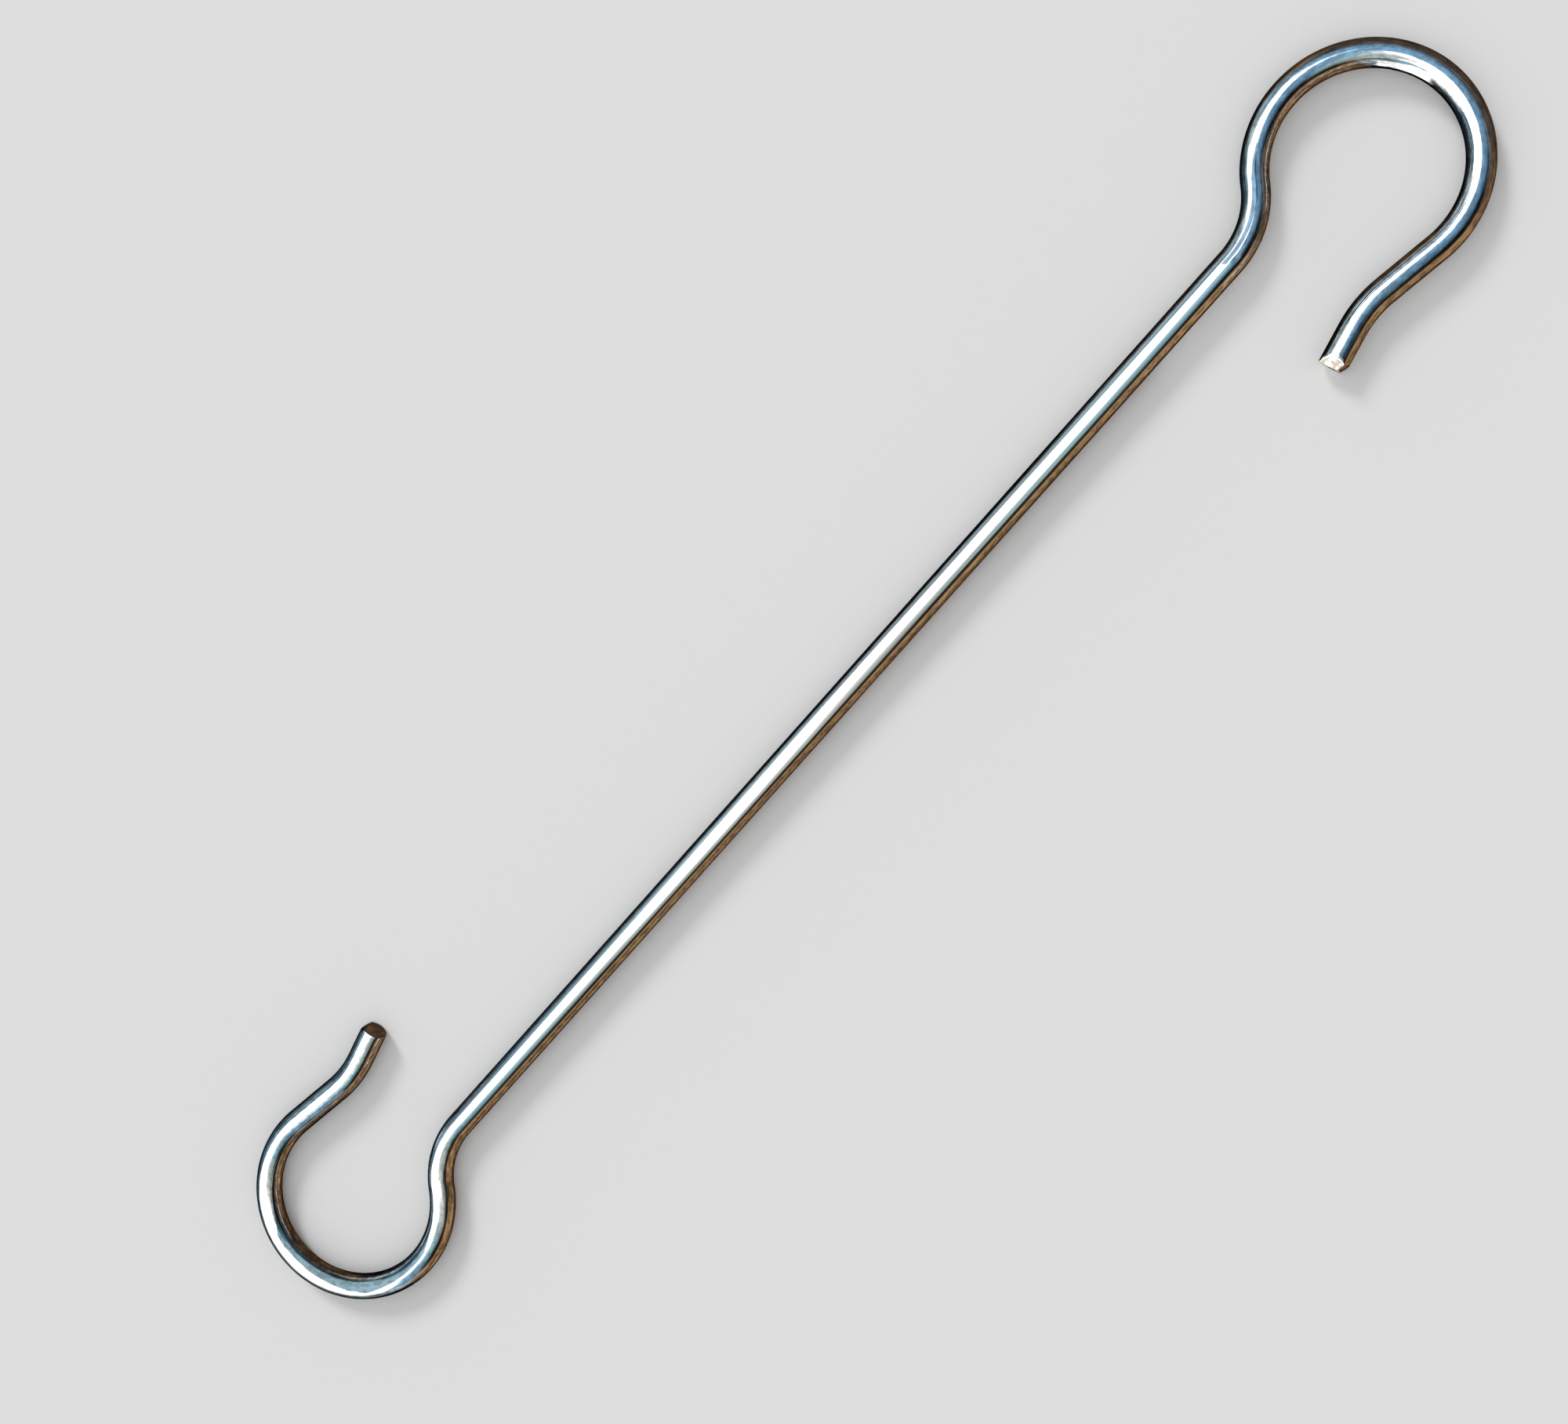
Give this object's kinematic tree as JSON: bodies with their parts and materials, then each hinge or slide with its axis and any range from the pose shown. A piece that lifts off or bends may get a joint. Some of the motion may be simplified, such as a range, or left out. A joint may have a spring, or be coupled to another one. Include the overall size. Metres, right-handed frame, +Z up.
{
  "type": "s hook",
  "caption": "Long S hook bent from bright round wire: a straight shank with an open round loop at each end, facing opposite ways, to hang one thing below another.",
  "frame": {"origin": "under the middle of the straight shank, on the surface that the hook lies on", "axes": "+Y along the shank towards the loop that opens on the +X side, +X across the shank, +Z up from the surface"},
  "size_m": [0.0326, 0.1849, 0.003],
  "materials": {
    "bright_wire": "bright drawn steel wire with a mirror finish and plain cut ends"
  },
  "bodies": {
    "root": {"s_hook": "bright_wire"}
  },
  "joints": []
}
